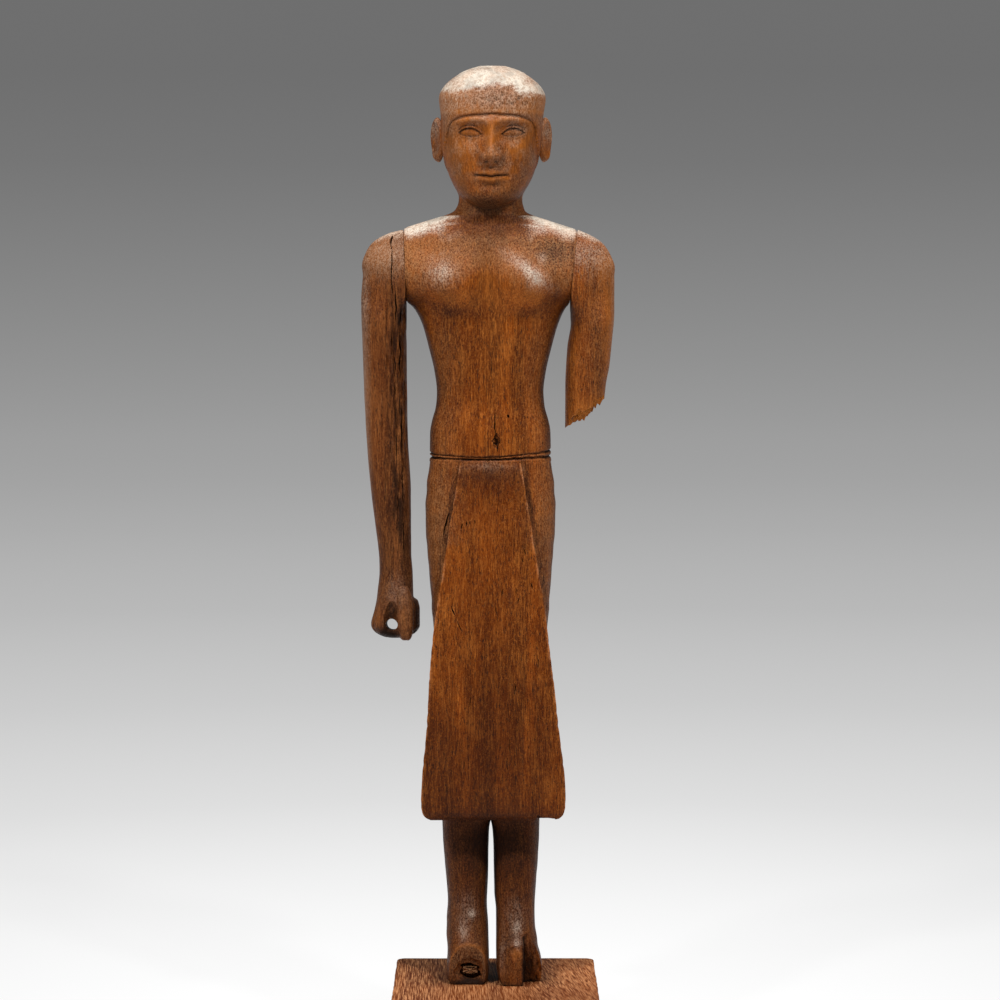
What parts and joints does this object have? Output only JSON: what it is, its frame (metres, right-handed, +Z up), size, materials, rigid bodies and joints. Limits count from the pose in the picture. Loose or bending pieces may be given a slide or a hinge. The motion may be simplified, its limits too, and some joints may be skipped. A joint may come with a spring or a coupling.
{
  "type": "wooden standing figure",
  "caption": "Carved wooden figure of a standing man in a long kilt with a flat front panel, arms at the sides, one broken off, on a rectangular wooden plinth.",
  "frame": {"origin": "centre of the plinth's flat underside", "axes": "+Z up from the plinth to the crown of the head; the figure faces -Y; +X is the figure's left"},
  "size_m": [0.0998, 0.105, 0.3903],
  "materials": {
    "figure_wood": "aged close-grained brown wood, waxed sheen on worn high places",
    "arm_wood": "aged brown wood, split and eroded along the grain",
    "tenon_wood": "broken pale wood",
    "plinth_wood": "smooth reddish wood with fine flecks"
  },
  "bodies": {
    "root": {"body": "figure_wood", "right_arm": "arm_wood", "left_arm": "arm_wood", "right_foot_tenon": "tenon_wood", "plinth": "plinth_wood"}
  },
  "joints": []
}
